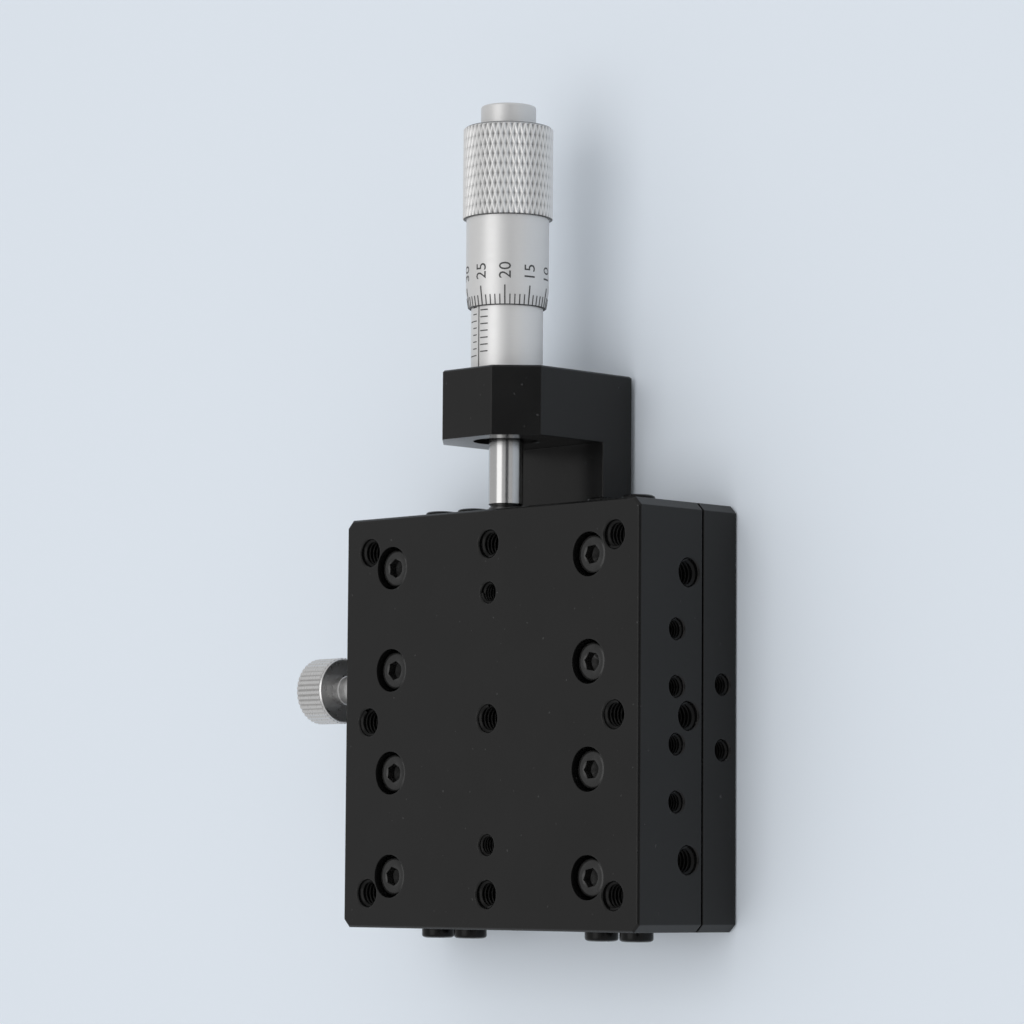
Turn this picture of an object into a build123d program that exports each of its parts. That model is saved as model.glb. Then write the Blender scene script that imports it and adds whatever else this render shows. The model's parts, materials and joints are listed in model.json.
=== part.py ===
from build123d import *

import math
import os

# A linear translation stage: a table runs on crossed rollers over a base, pushed
# by a micrometer in a bracket at one end and pulled back by two springs.
# Origin: centre of the base's underside. +X is the travel, +Z the table's normal.
# All sizes are in millimetres.

# Stage: base and table
stage_length = 60.0
stage_width = 60.0
stage_height = 20.0
base_thickness = 7.0
table_side_gap = 0.4
table_wall = 7.25
corner_chamfer = 1.1
edge_break = 0.3
half_travel = 6.5
running_air = 0.3

# Crossed-roller guides
rail_height = 6.0
rail_pair_width = 12.0
rail_face_gap = 0.5
roller_diameter = 2.0
roller_length = 1.8
roller_play = 0.01
roller_count = 10
roller_pitch = 4.0
groove_relief_width = 0.4
groove_relief_depth = 0.25
cage_thickness = 0.3
cage_height = 4.6
cage_end_margin = 0.5
window_play = 0.1
rail_screw_end_margin = 7.5
rail_screw_count = 4
rail_screw_inset = 3.3
preload_gap = 0.25

# Cap screws and set screws, by thread
m3_radius = 1.5
m4_radius = 2.0
m25_radius = 1.25
m3_head_radius = 2.7
m3_head_height = 3.0
m3_head_edge = 0.35
m3_socket_width = 2.5
m3_socket_depth = 1.4
m3_clearance_radius = 1.7
counterbore_radius = 3.15
head_sunk = 0.65
thread_clearance = 0.05
countersink_growth = 0.2
end_screw_head_radius = 2.4
end_screw_head_height = 1.45
end_screw_head_edge = 0.5
end_screw_socket_width = 1.5
end_screw_socket_depth = 0.9
end_screw_length = 4.5
screw_tip_air = 0.5
base_counterbore_depth = 3.3
rail_screw_engagement = 4.5

# Tapped holes for the user
m4_edge_margin = 5.0
grid_hole_depth = 6.0
pair_hole_end_margin = 12.0
side_m4_end_margin = 10.0
side_m3_height = 12.4
side_m3_inner = 4.0
side_m3_outer = 12.0
side_m3_depth = 5.0
base_side_hole_offset = 4.6
base_side_hole_height = 3.0
base_side_hole_depth = 5.0

# Preload set screws
set_screw_length = 4.0
set_screw_socket_width = 2.0
set_screw_socket_depth = 1.6

# Return springs
spring_spacing = 10.0
spring_radius = 1.5
spring_wire = 0.4
spring_height = 10.2
spring_channel_width = 4.0
spring_channel_floor = 8.0
post_radius = 0.75
post_length = 7.0
post_seat_depth = 3.0
base_post_end_margin = 8.0
table_post_end_margin = 10.0
loop_clearance = 0.1

# Micrometer bracket
bracket_width = 20.0
bracket_leg = 10.0
bracket_arm = 10.0
bracket_bottom = 0.9
bracket_leg_top = 6.75
bracket_top = 24.45
bracket_bevel = 5.0
bracket_edge_break = 0.25
bracket_screw_spacing = 12.0
bracket_screw_height = 4.2
bracket_screw_length = 20.0
bracket_counterbore_radius = 2.9
bracket_counterbore_depth = 6.0

# Micrometer
axis_height = 16.5
stem_radius = 4.75
stem_clearance = 0.02
stem_recess = 1.0
sleeve_radius = 5.2
sleeve_length = 17.0
barrel_radius = 4.2
barrel_rear_radius = 3.9
barrel_rear_length = 3.2
spindle_radius = 2.5
spindle_clearance = 0.05
anvil_projection = 0.6
spindle_thread_radius = 3.1
spindle_thread_cover = 9.5
spindle_guide_wall = 0.5
barrel_cavity_play = 0.3
nut_thread_length = 9.0
adjusting_nut_radius = 4.9
adjusting_nut_length = 2.4
thimble_overlap = 7.85
thimble_edge_radius = 5.6
thimble_bevel_length = 2.35
thimble_radius = 6.0
thimble_body_length = 13.05
grip_radius = 6.55
grip_length = 13.5
grip_edge_radius = 0.7
thimble_bore_play = 0.08
thimble_end_wall = 3.8
spindle_seat_radius = 2.5
cap_radius = 4.0
cap_length = 3.1
cap_edge_radius = 0.3
cap_screw_length = 6.0
anvil_radius = 2.5
anvil_pocket_depth = 2.4
clamp_screw_length = 4.0

# Table lock
lock_x = 5.3
lock_plate_thickness = 3.0
lock_plate_margin = 5.0
lock_plate_bottom = 0.9
lock_plate_top = 16.0
lock_plate_screw_offset = 9.0
lock_slot_play = 0.3
lock_shoulder_air = 0.3
lock_neck_radius = 2.4
lock_neck_length = 5.3
lock_collar_place = 2.1
lock_collar_width = 0.9
lock_collar_radius = 2.75
lock_knob_radius = 4.95
lock_knob_thickness = 5.55
lock_knob_edge = 0.3
lock_knob_teeth = 40
lock_tooth_depth = 0.25
lock_screw_depth = 5.5

# Derived places
stage_end = stage_length / 2
stage_side = stage_width / 2
rail_top = base_thickness + rail_height
rail_middle = base_thickness + rail_height / 2
pair_centre = stage_side - table_wall - rail_pair_width / 2
base_rail_inner = pair_centre - rail_pair_width / 2
base_rail_outer = pair_centre - rail_face_gap / 2
table_rail_inner = pair_centre + rail_face_gap / 2
table_rail_outer = pair_centre + rail_pair_width / 2
base_screw_y = base_rail_outer - rail_screw_inset + running_air / 2
table_screw_y = table_rail_inner + rail_screw_inset - running_air / 2
rail_screw_span = stage_length - 2 * rail_screw_end_margin
rail_screw_pitch = rail_screw_span / (rail_screw_count - 1)
rail_screw_xs = [i * rail_screw_pitch - rail_screw_span / 2 for i in range(rail_screw_count)]
m4_corner_x = stage_end - m4_edge_margin
m4_corner_y = stage_side - m4_edge_margin
pair_hole_x = stage_end - pair_hole_end_margin
side_m4_x = stage_end - side_m4_end_margin
base_post_x = stage_end - base_post_end_margin
table_post_x = table_post_end_margin - stage_end
arm_start = stage_end + bracket_leg
arm_end = arm_start + bracket_arm
stem_start = arm_start + stem_recess
sleeve_end = arm_end + sleeve_length
barrel_end = sleeve_end + barrel_rear_length
spindle_front = stage_end + anvil_projection
spindle_thread_start = sleeve_end - spindle_thread_cover
thimble_edge_x = sleeve_end - thimble_overlap
thimble_grip_start = thimble_edge_x + thimble_body_length
thimble_end = thimble_grip_start + grip_length
thimble_floor = thimble_end - thimble_end_wall
lock_plate_outer = stage_side + lock_plate_thickness
lock_plate_screw_xs = [lock_x - lock_plate_screw_offset, lock_x + lock_plate_screw_offset]
lock_shoulder_y = lock_plate_outer + lock_shoulder_air
lock_knob_y = lock_shoulder_y + lock_neck_length
table_counterbore_floor = stage_height - head_sunk - m3_head_height

# Directions for parts that are drawn along +Z
POINT_DOWN = Rot(180, 0, 0)
POINT_PLUS_X = Rot(0, 90, 0)
POINT_MINUS_X = Rot(0, -90, 0)
POINT_PLUS_Y = Rot(-90, 0, 0)
POINT_MINUS_Y = Rot(90, 0, 0)


# Common shapes

def block(x_range, y_range, z_range):
    """A box between two places on each axis."""
    sizes = [high - low for low, high in (x_range, y_range, z_range)]
    middles = [(high + low) / 2 for low, high in (x_range, y_range, z_range)]
    return Pos(*middles) * Box(*sizes)


def bar(outline, x_start, x_end):
    """A closed outline in (y, z), drawn out along X."""
    face = Plane.YZ * make_face(Polyline(*outline, close=True))
    return Pos(x_start, 0, 0) * extrude(face, amount=x_end - x_start)


def turning(outline):
    """A closed outline in (x, radius), turned about the X axis."""
    return revolve(make_face(Polyline(*outline, close=True)), Axis.X)


def hole(radius, depth, mouth_growth=0.0):
    """A round cutter that goes down from z = 0, with a countersunk mouth."""
    outline = [(0, 0), (radius, 0), (radius, -depth), (0, -depth)]
    if mouth_growth > 0:
        outline[1:2] = [(radius + mouth_growth, 0), (radius, -mouth_growth)]
    return revolve(make_face(Plane.XZ * Polyline(*outline, close=True)), Axis.Z)


def hex_socket(width, depth):
    """A hexagonal cutter that goes down from z = 0."""
    return extrude(RegularPolygon(width / 2, 6, major_radius=False), amount=-depth)


def headed_screw(radius, length, head, socket):
    """A socket screw with its head on z = 0 and its shank below."""
    head_radius, head_height, edge = head
    core = radius - thread_clearance
    outline = [
        (0, head_height),
        (head_radius - edge, head_height),
        (head_radius, head_height - edge),
        (head_radius, 0),
        (core, 0),
        (core, -length),
        (0, -length),
    ]
    screw = revolve(make_face(Plane.XZ * Polyline(*outline, close=True)), Axis.Z)
    return screw - Pos(0, 0, head_height) * hex_socket(*socket)


def m3_cap_screw(length):
    head = (m3_head_radius, m3_head_height, m3_head_edge)
    return headed_screw(m3_radius, length, head, (m3_socket_width, m3_socket_depth))


def low_head_screw(radius, length):
    head = (end_screw_head_radius, end_screw_head_height, end_screw_head_edge)
    return headed_screw(radius, length, head, (end_screw_socket_width, end_screw_socket_depth))


def set_screw(radius, length):
    """A socket set screw with its driven end on z = 0."""
    core = radius - thread_clearance
    screw = Pos(0, 0, -length / 2) * Cylinder(core, length)
    return screw - hex_socket(set_screw_socket_width, set_screw_socket_depth)


def plan_block(z_low, z_high):
    """The stage's plan outline with its chamfered corners, drawn up in Z."""
    plan = chamfer(Rectangle(stage_length, stage_width).vertices(), corner_chamfer)
    return Pos(0, 0, z_low) * extrude(plan, amount=z_high - z_low)


# Crossed-roller guides, drawn on the +Y side

def rail(face_y, back_y, bottom, top):
    """A rail bar whose grooved face is at face_y and whose back is at back_y."""
    inward = math.copysign(1.0, back_y - face_y)
    flat_distance = roller_diameter / 2 + roller_play
    apex_y = pair_centre + inward * flat_distance * math.sqrt(2)
    mouth = abs(apex_y - face_y)
    relief = groove_relief_width / 2
    relief_y = apex_y - inward * relief
    floor_y = relief_y + inward * groove_relief_depth
    return bar(
        [
            (face_y, bottom),
            (face_y, rail_middle - mouth),
            (relief_y, rail_middle - relief),
            (floor_y, rail_middle - relief),
            (floor_y, rail_middle + relief),
            (relief_y, rail_middle + relief),
            (face_y, rail_middle + mouth),
            (face_y, top),
            (back_y, top),
            (back_y, bottom),
        ],
        -stage_end,
        stage_end,
    )


def rail_end_holes(screw_y):
    """Tapped holes in both ends of a rail, for the screws that stop the cage."""
    cutter = hole(m25_radius, end_screw_length + screw_tip_air)
    return [
        Pos(stage_end, screw_y, rail_middle) * POINT_PLUS_X * cutter,
        Pos(-stage_end, screw_y, rail_middle) * POINT_MINUS_X * cutter,
    ]


def drilled_rail(blank, screw_y):
    """A rail with its row of tapped holes through its height and its end holes."""
    cutter = hole(m3_radius, rail_height)
    row = [Pos(x, screw_y, rail_top) * cutter for x in rail_screw_xs]
    return blank - row - rail_end_holes(screw_y)


def make_base_rail():
    blank = rail(base_rail_outer, base_rail_inner, base_thickness, rail_top)
    return drilled_rail(blank, base_screw_y)


def make_table_rail():
    blank = rail(table_rail_inner, table_rail_outer, base_thickness, rail_top)
    return drilled_rail(blank, table_screw_y)


def roller_places():
    span = roller_pitch * (roller_count - 1)
    return [i * roller_pitch - span / 2 for i in range(roller_count)]


def make_rollers():
    """Rollers in the square tunnel between two grooves, each crossed to the next."""
    rollers = []
    for index, x in enumerate(roller_places()):
        tilt = 45 if index % 2 == 0 else -45
        roller = Cylinder(roller_diameter / 2, roller_length)
        rollers.append(Pos(x, pair_centre, rail_middle) * Rot(tilt, 0, 0) * roller)
    return rollers


def make_cage():
    """A thin strip with one window for each roller."""
    half_length = roller_pitch * roller_count / 2 + cage_end_margin
    half_thickness = cage_thickness / 2
    strip = block(
        (-half_length, half_length),
        (pair_centre - half_thickness, pair_centre + half_thickness),
        (rail_middle - cage_height / 2, rail_middle + cage_height / 2),
    )
    window_length = roller_diameter + 2 * window_play
    window_height = roller_length * math.sqrt(2) + cage_thickness + 2 * window_play
    window = Box(window_length, cage_thickness * 2, window_height)
    return strip - [Pos(x, pair_centre, rail_middle) * window for x in roller_places()]


# Base

def make_base():
    base = plan_block(0, base_thickness)
    base = chamfer(base.faces().sort_by(Axis.Z)[0].edges(), edge_break)
    boss_top = rail_top - running_air
    base += block((-stage_end, stage_end), (-base_rail_inner, base_rail_inner), (0, boss_top))
    for side in (1, -1):
        inner, outer = sorted(
            (side * (base_rail_outer + running_air), side * (table_rail_outer + running_air / 3))
        )
        base -= block(
            (-stage_end, stage_end), (inner, outer), (base_thickness - running_air, rail_top)
        )
        channel_y = side * spring_spacing / 2
        half_width = spring_channel_width / 2
        base -= block(
            (table_post_x - half_travel - spring_radius, base_post_x + spring_radius),
            (channel_y - half_width, channel_y + half_width),
            (spring_channel_floor, rail_top),
        )
        base -= Pos(base_post_x, channel_y, spring_channel_floor) * hole(
            post_radius, post_seat_depth + screw_tip_air
        )
        for x in rail_screw_xs:
            place = Pos(x, side * base_screw_y, 0) * POINT_DOWN
            base -= place * hole(counterbore_radius, base_counterbore_depth)
            base -= place * hole(m3_clearance_radius, base_thickness)
        place = Pos(stage_end, side * bracket_screw_spacing / 2, bracket_screw_height)
        reach = bracket_screw_length - bracket_leg - bracket_arm + bracket_counterbore_depth
        base -= place * POINT_PLUS_X * hole(m3_radius, reach + screw_tip_air)
        for x in (-m4_corner_x, m4_corner_x):
            place = Pos(x, side * m4_corner_y, 0) * POINT_DOWN
            base -= place * hole(m4_radius, base_thickness, countersink_growth)
    side_hole = hole(m3_radius, base_side_hole_depth, countersink_growth)
    for x in (-base_side_hole_offset, base_side_hole_offset):
        base -= Pos(x, -stage_side, base_side_hole_height) * POINT_MINUS_Y * side_hole
    for x in lock_plate_screw_xs:
        base -= Pos(x, stage_side, base_side_hole_height) * POINT_PLUS_Y * side_hole
    return base


# Table

def make_table():
    table = plan_block(base_thickness + table_side_gap, stage_height)
    table = chamfer(table.faces().sort_by(Axis.Z)[-1].edges(), edge_break)
    table -= block(
        (-stage_end, stage_end),
        (-table_rail_outer - preload_gap, table_rail_outer),
        (0, rail_top),
    )
    table -= block(
        (-stage_end, stage_end), (-base_rail_outer, base_rail_outer), (0, rail_top + running_air)
    )
    table -= make_table_face_holes()
    table -= make_table_side_holes()
    pocket = hole(anvil_radius, anvil_pocket_depth)
    table -= Pos(stage_end, 0, axis_height) * POINT_PLUS_X * pocket
    post_hole = POINT_DOWN * hole(post_radius, post_seat_depth)
    for side in (1, -1):
        table -= Pos(table_post_x, side * spring_spacing / 2, rail_top + running_air) * post_hole
    return table


def make_table_face_holes():
    """The tapped grid, the pair of M3 holes and the counterbores of the rail screws."""
    m4_hole = hole(m4_radius, grid_hole_depth, countersink_growth)
    m3_hole = hole(m3_radius, grid_hole_depth, countersink_growth)
    cutters = [
        Pos(x, y, stage_height) * m4_hole
        for x in (-m4_corner_x, 0.0, m4_corner_x)
        for y in (-m4_corner_y, 0.0, m4_corner_y)
    ]
    cutters += [Pos(x, 0, stage_height) * m3_hole for x in (-pair_hole_x, pair_hole_x)]
    head_room = hole(counterbore_radius, stage_height - table_counterbore_floor)
    shank_room = hole(m3_clearance_radius, stage_height - rail_top)
    for x in rail_screw_xs:
        for y in (-table_screw_y, table_screw_y):
            cutters.append(Pos(x, y, stage_height) * head_room)
            cutters.append(Pos(x, y, stage_height) * shank_room)
    return cutters


def make_table_side_holes():
    """Tapped holes in the preload side, and the lock screw's hole in the other side."""
    preload_hole = hole(m4_radius, table_wall, countersink_growth)
    side_hole = hole(m3_radius, side_m3_depth, countersink_growth)
    cutters = [
        Pos(x, -stage_side, rail_middle) * POINT_MINUS_Y * preload_hole
        for x in (-side_m4_x, 0.0, side_m4_x)
    ]
    cutters += [
        Pos(x, -stage_side, side_m3_height) * POINT_MINUS_Y * side_hole
        for x in (-side_m3_outer, -side_m3_inner, side_m3_inner, side_m3_outer)
    ]
    lock_hole = hole(m3_radius, lock_screw_depth + screw_tip_air, countersink_growth)
    cutters.append(Pos(lock_x, stage_side, side_m3_height) * POINT_PLUS_Y * lock_hole)
    return cutters


def make_anvil():
    """The hardened button that the spindle pushes."""
    outline = [
        (stage_end - anvil_pocket_depth, 0),
        (stage_end - anvil_pocket_depth, anvil_radius - thread_clearance),
        (spindle_front - edge_break, anvil_radius - thread_clearance),
        (spindle_front, anvil_radius - thread_clearance - edge_break),
        (spindle_front, 0),
    ]
    return Pos(0, 0, axis_height) * turning(outline)


# Screws in groups

def make_table_rail_screws():
    shank = table_counterbore_floor - rail_top + rail_screw_engagement
    screw = m3_cap_screw(shank)
    return [
        Pos(x, y, table_counterbore_floor) * screw
        for x in rail_screw_xs
        for y in (-table_screw_y, table_screw_y)
    ]


def make_base_rail_screws():
    shank = base_thickness - base_counterbore_depth + rail_screw_engagement
    screw = POINT_DOWN * m3_cap_screw(shank)
    return [
        Pos(x, y, base_counterbore_depth) * screw
        for x in rail_screw_xs
        for y in (-base_screw_y, base_screw_y)
    ]


def make_end_screws(screw_y):
    """Low-head screws in the rail ends, whose heads stop the cage."""
    screw = low_head_screw(m25_radius, end_screw_length)
    return [
        Pos(side * stage_end, y, rail_middle) * turn * screw
        for side, turn in ((1, POINT_PLUS_X), (-1, POINT_MINUS_X))
        for y in (-screw_y, screw_y)
    ]


def make_preload_screws():
    """Set screws that press the table's loose rail towards its rollers."""
    screw = POINT_MINUS_Y * set_screw(m4_radius, set_screw_length)
    driven_end = -(table_rail_outer + set_screw_length)
    return [Pos(x, driven_end, rail_middle) * screw for x in (-side_m4_x, 0.0, side_m4_x)]


def make_bracket_screws():
    screw = POINT_PLUS_X * m3_cap_screw(bracket_screw_length)
    seat_x = arm_end - bracket_counterbore_depth
    return [
        Pos(seat_x, side * bracket_screw_spacing / 2, bracket_screw_height) * screw
        for side in (1, -1)
    ]


def make_lock_plate_screws():
    shank = base_side_hole_depth - screw_tip_air + lock_plate_thickness / 2
    screw = POINT_PLUS_Y * low_head_screw(m3_radius, shank)
    seat_y = stage_side + lock_plate_thickness / 2
    return [Pos(x, seat_y, base_side_hole_height) * screw for x in lock_plate_screw_xs]


# Return springs, drawn on the +Y side

def make_post(x, low):
    return Pos(x, spring_spacing / 2, low + post_length / 2) * Cylinder(
        post_radius - thread_clearance / 5, post_length
    )


def make_base_posts():
    post = make_post(base_post_x, spring_channel_floor - post_seat_depth)
    return [post, mirror(post, Plane.XZ)]


def make_table_posts():
    post = make_post(table_post_x, rail_top + running_air + post_seat_depth - post_length)
    return [post, mirror(post, Plane.XZ)]


def make_spring():
    """The coil's outer form, with a flat loop round the post at each end."""
    loop_bore = post_radius + loop_clearance
    loop_outer = loop_bore + spring_wire
    start = table_post_x + loop_outer
    end = base_post_x - loop_outer
    coil = Pos((start + end) / 2, 0, 0) * POINT_PLUS_X * Cylinder(spring_radius, end - start)
    half_wire = spring_wire / 2
    core = block(
        (start - half_wire, end + half_wire), (-half_wire, half_wire), (-half_wire, half_wire)
    )
    loop = Cylinder(loop_outer, spring_wire) - Cylinder(loop_bore, spring_wire)
    spring = coil + core
    for x in (table_post_x, base_post_x):
        spring += Pos(x, 0, 0) * loop
    return Pos(0, spring_spacing / 2, spring_height) * spring


# Micrometer bracket

def make_bracket():
    half = bracket_width / 2
    arm = bar(
        [
            (-half, bracket_bottom),
            (half, bracket_bottom),
            (half, bracket_top - bracket_bevel),
            (half - bracket_bevel, bracket_top),
            (-half + bracket_bevel, bracket_top),
            (-half, bracket_top - bracket_bevel),
        ],
        arm_start,
        arm_end,
    )
    arm = chamfer(arm.faces().sort_by(Axis.X)[-1].edges(), bracket_edge_break)
    leg = block((stage_end, arm_start), (-half, half), (bracket_bottom, bracket_leg_top))
    bracket = arm + leg
    bore = hole(stem_radius + stem_clearance, bracket_arm)
    bracket -= Pos(arm_end, 0, axis_height) * POINT_PLUS_X * bore
    clamp_hole = hole(m3_radius, half - stem_radius + thread_clearance, countersink_growth)
    clamp_x = (arm_start + arm_end) / 2
    bracket -= Pos(clamp_x, half, axis_height) * POINT_PLUS_Y * clamp_hole
    for side in (1, -1):
        place = Pos(arm_end, side * bracket_screw_spacing / 2, bracket_screw_height)
        bracket -= place * POINT_PLUS_X * hole(
            bracket_counterbore_radius, bracket_counterbore_depth
        )
        bracket -= place * POINT_PLUS_X * hole(m3_clearance_radius, bracket_arm + bracket_leg)
    return bracket


def make_clamp_screw():
    """The set screw that holds the stem, sunk in the bracket's side."""
    screw = POINT_PLUS_Y * set_screw(m3_radius, clamp_screw_length)
    tip = stem_radius + stem_clearance
    return Pos((arm_start + arm_end) / 2, tip + clamp_screw_length, axis_height) * screw


# Micrometer, drawn about the X axis and lifted to its height

def on_axis(shape):
    return Pos(0, 0, axis_height) * shape


def make_barrel():
    """The fixed inner body: stem, sleeve seat and the thread that the spindle runs in."""
    guide_radius = spindle_radius + spindle_clearance
    guide_end = arm_end + spindle_guide_wall
    cavity_radius = spindle_thread_radius + barrel_cavity_play
    nut_radius = spindle_thread_radius + spindle_clearance
    nut_start = barrel_end - nut_thread_length
    outline = [
        (stem_start, guide_radius),
        (stem_start, stem_radius - edge_break),
        (stem_start + edge_break, stem_radius),
        (arm_end, stem_radius),
        (arm_end, barrel_radius),
        (sleeve_end, barrel_radius),
        (sleeve_end, barrel_rear_radius),
        (barrel_end, barrel_rear_radius),
        (barrel_end, nut_radius),
        (nut_start, nut_radius),
        (nut_start, cavity_radius),
        (guide_end, cavity_radius),
        (guide_end, guide_radius),
    ]
    return on_axis(turning(outline))


def make_sleeve():
    inner = barrel_radius + stem_clearance
    outline = [
        (arm_end, inner),
        (arm_end, sleeve_radius),
        (sleeve_end - edge_break, sleeve_radius),
        (sleeve_end, sleeve_radius - edge_break),
        (sleeve_end, inner),
    ]
    return on_axis(turning(outline))


def make_adjusting_nut():
    inner = barrel_rear_radius + spindle_clearance
    start = sleeve_end + running_air
    end = start + adjusting_nut_length
    outline = [
        (start, inner),
        (start, adjusting_nut_radius),
        (end - edge_break, adjusting_nut_radius),
        (end, adjusting_nut_radius - edge_break),
        (end, inner),
    ]
    return on_axis(turning(outline))


def make_spindle():
    """Ground front, threaded middle and the seat on which the thimble is held."""
    seat_end = thimble_end - running_air
    outline = [
        (spindle_front, 0),
        (spindle_front, spindle_radius - edge_break),
        (spindle_front + edge_break, spindle_radius),
        (spindle_thread_start, spindle_radius),
        (spindle_thread_start, spindle_thread_radius),
        (thimble_floor, spindle_thread_radius),
        (thimble_floor, spindle_seat_radius),
        (seat_end, spindle_seat_radius),
        (seat_end, 0),
    ]
    screw_room = hole(m3_radius, cap_screw_length)
    spindle = turning(outline) - Pos(seat_end, 0, 0) * POINT_PLUS_X * screw_room
    return on_axis(spindle)


def make_thimble():
    """Bevelled edge, plain body and knurled grip over a bore that clears the sleeve."""
    bore = sleeve_radius + thimble_bore_play
    bevel_end = thimble_edge_x + thimble_bevel_length
    outline = [
        (thimble_edge_x, bore),
        (thimble_edge_x, thimble_edge_radius),
        (bevel_end, thimble_radius),
        (thimble_grip_start, thimble_radius),
        (thimble_grip_start, grip_radius),
        (thimble_end, grip_radius),
        (thimble_end, spindle_seat_radius + stem_clearance),
        (thimble_floor, spindle_seat_radius + stem_clearance),
        (thimble_floor, bore),
    ]
    thimble = turning(outline)
    end_edges = thimble.edges().filter_by(GeomType.CIRCLE).sort_by(Axis.X)
    rim = [edge for edge in end_edges if abs(edge.radius - grip_radius) < thread_clearance]
    thimble = fillet(rim[-1], grip_edge_radius)
    return on_axis(thimble)


def make_end_cap():
    """The cap whose screw pulls the thimble on to the spindle."""
    cap_end = thimble_end + cap_length
    core = m3_radius - thread_clearance
    outline = [
        (thimble_end - cap_screw_length + running_air, 0),
        (thimble_end - cap_screw_length + running_air, core),
        (thimble_end, core),
        (thimble_end, cap_radius),
        (cap_end, cap_radius),
        (cap_end, 0),
    ]
    cap = turning(outline)
    rim = cap.faces().sort_by(Axis.X)[-1].edges()
    return on_axis(fillet(rim, cap_edge_radius))


# Table lock

def make_lock_plate():
    """A plate on the base's side, slotted for the lock screw that the table carries."""
    reach = half_travel + lock_neck_radius + lock_plate_margin
    plate = block(
        (lock_x - reach, lock_x + reach),
        (stage_side, lock_plate_outer),
        (lock_plate_bottom, lock_plate_top),
    )
    plate = chamfer(plate.edges().filter_by(Axis.Y), corner_chamfer)
    plate -= block(
        (lock_x - reach, lock_x + reach),
        (stage_side, stage_side + running_air),
        (base_thickness, lock_plate_top),
    )
    slot_width = 2 * (m3_radius + lock_slot_play)
    slot = SlotCenterToCenter(2 * (half_travel + lock_slot_play), slot_width)
    cutter = extrude(slot, amount=lock_plate_thickness * 2, both=True)
    plate -= Pos(lock_x, lock_plate_outer, side_m3_height) * POINT_PLUS_Y * cutter
    for x in lock_plate_screw_xs:
        place = Pos(x, lock_plate_outer, base_side_hole_height) * POINT_PLUS_Y
        plate -= place * hole(end_screw_head_radius + running_air, lock_plate_thickness / 2)
        plate -= place * hole(m3_clearance_radius, lock_plate_thickness)
    return plate


def make_lock_screw():
    """Threaded shank, clamping shoulder and turned neck, up to the knob's face."""
    core = m3_radius - thread_clearance
    collar_start = lock_shoulder_y + lock_collar_place
    collar_end = collar_start + lock_collar_width
    outline = [
        (stage_side - lock_screw_depth, 0),
        (stage_side - lock_screw_depth, core),
        (lock_shoulder_y, core),
        (lock_shoulder_y, lock_neck_radius),
        (collar_start, lock_neck_radius),
        (collar_start, lock_collar_radius),
        (collar_end, lock_collar_radius),
        (collar_end, lock_neck_radius),
        (lock_knob_y, lock_neck_radius),
        (lock_knob_y, core),
        (lock_knob_y + lock_knob_thickness / 2, core),
        (lock_knob_y + lock_knob_thickness / 2, 0),
    ]
    return Pos(lock_x, 0, side_m3_height) * Rot(0, 0, 90) * turning(outline)


def make_lock_knob():
    """A straight-knurled knob: a toothed outline trimmed by a turned form."""
    points = []
    for index in range(2 * lock_knob_teeth):
        angle = math.pi * index / lock_knob_teeth
        radius = lock_knob_radius - (lock_tooth_depth if index % 2 else 0.0)
        points.append((radius * math.cos(angle), radius * math.sin(angle)))
    toothed = Plane.YZ * make_face(Polyline(*points, close=True))
    knob = Pos(lock_knob_y, 0, 0) * extrude(toothed, amount=lock_knob_thickness)
    low, high = lock_knob_y, lock_knob_y + lock_knob_thickness
    trim = turning(
        [
            (low, 0),
            (low, lock_knob_radius - lock_knob_edge),
            (low + lock_knob_edge, lock_knob_radius + lock_tooth_depth),
            (high - lock_knob_edge, lock_knob_radius + lock_tooth_depth),
            (high, lock_knob_radius - lock_knob_edge),
            (high, 0),
        ]
    )
    socket = Pos(low, 0, 0) * POINT_MINUS_X * hole(m3_radius, lock_knob_thickness / 2)
    return Pos(lock_x, 0, side_m3_height) * Rot(0, 0, 90) * ((knob & trim) - socket)


def both_sides(shape):
    """The piece as drawn on the +Y side, and its mirror image."""
    return shape, mirror(shape, Plane.XZ)


def write_parts():
    base_rail_left, base_rail_right = both_sides(make_base_rail())
    table_rail_left, table_rail_right = both_sides(make_table_rail())
    cage_left, cage_right = both_sides(make_cage())
    spring_left, spring_right = both_sides(make_spring())
    rollers_left = make_rollers()
    parts = {
        "base_plate": make_base(),
        "base_rail_left": base_rail_left,
        "base_rail_right": base_rail_right,
        "base_rail_screws": make_base_rail_screws(),
        "base_rail_end_screws": make_end_screws(base_screw_y),
        "spring_posts_base": make_base_posts(),
        "return_spring_left": spring_left,
        "return_spring_right": spring_right,
        "stage_table": make_table(),
        "table_rail_left": table_rail_left,
        "table_rail_right": table_rail_right,
        "table_rail_screws": make_table_rail_screws(),
        "table_rail_end_screws": make_end_screws(table_screw_y),
        "preload_set_screws": make_preload_screws(),
        "spindle_contact_button": make_anvil(),
        "spring_posts_table": make_table_posts(),
        "roller_cage_left": cage_left,
        "roller_cage_right": cage_right,
        "rollers_left": rollers_left,
        "rollers_right": [mirror(roller, Plane.XZ) for roller in rollers_left],
        "micrometer_bracket": make_bracket(),
        "bracket_screws": make_bracket_screws(),
        "stem_clamp_screw": make_clamp_screw(),
        "micrometer_barrel": make_barrel(),
        "graduated_sleeve": make_sleeve(),
        "thread_adjusting_nut": make_adjusting_nut(),
        "micrometer_spindle": make_spindle(),
        "thimble": make_thimble(),
        "thimble_end_cap": make_end_cap(),
        "lock_plate": make_lock_plate(),
        "lock_plate_screws": make_lock_plate_screws(),
        "lock_screw": make_lock_screw(),
        "lock_knob": make_lock_knob(),
    }
    os.makedirs("parts", exist_ok=True)
    for name, shape in parts.items():
        whole = Compound(children=shape) if isinstance(shape, list) else shape
        export_step(whole, f"parts/{name}.step")


write_parts()
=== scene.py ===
import json
import math
from contextlib import contextmanager

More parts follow.
